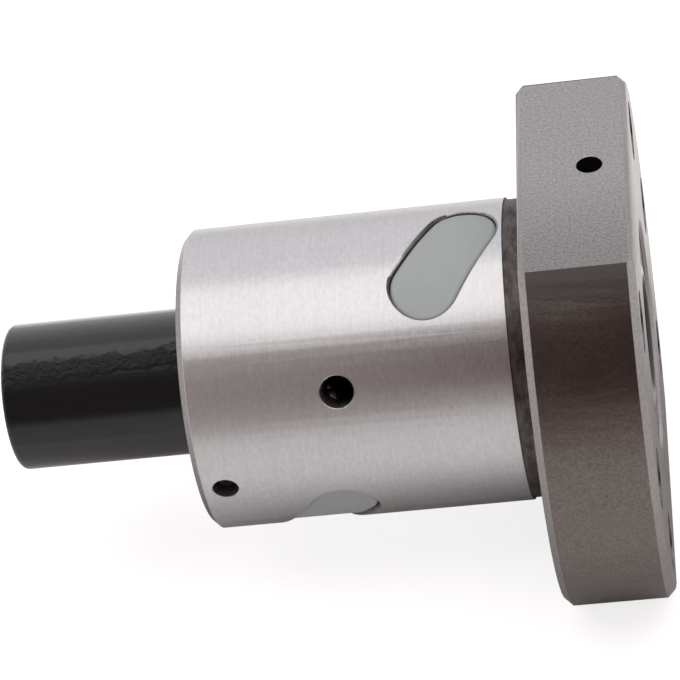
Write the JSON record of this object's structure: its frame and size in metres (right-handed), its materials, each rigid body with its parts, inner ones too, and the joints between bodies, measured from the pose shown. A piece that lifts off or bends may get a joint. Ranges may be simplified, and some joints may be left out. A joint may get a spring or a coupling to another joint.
{
  "type": "ball screw nut",
  "caption": "Flanged single ball nut for a 16 mm ball screw, held on its hollow plastic storage sleeve.",
  "frame": {"origin": "centre of the flange's mounting face, on the nut axis", "axes": "+X along the nut axis out of the flange's outer face, +Z out of the upper flat of the flange, +Y by the right-hand rule"},
  "size_m": [0.0597, 0.048, 0.04],
  "materials": {
    "nut_steel": "ground body, rough machined flange",
    "insert_plastic": "matte grey-green moulding",
    "ball_steel": "polished bearing steel",
    "wiper_plastic": "matte grey moulding",
    "screw_steel": "black oxide",
    "sleeve_plastic": "glossy black tube, scuffed"
  },
  "bodies": {
    "nut": {"nut_body": "nut_steel", "return_insert_1": "insert_plastic", "return_insert_2": "insert_plastic", "return_insert_3": "insert_plastic", "loaded_balls_1": "ball_steel", "loaded_balls_2": "ball_steel", "loaded_balls_3": "ball_steel", "returning_balls_1": "ball_steel", "returning_balls_2": "ball_steel", "returning_balls_3": "ball_steel", "wiper_ring_flange_end": "wiper_plastic", "wiper_ring_free_end": "wiper_plastic", "wiper_screw_flange_end": "screw_steel", "wiper_screw_free_end": "screw_steel"},
    "sleeve": {"storage_sleeve": "sleeve_plastic"}
  },
  "joints": [
    {"name": "sleeve_slide", "type": "slide", "parent": "nut", "child": "sleeve", "axis": [1, 0, 0], "range_m": [-0.0435, 0.06]}
  ]
}
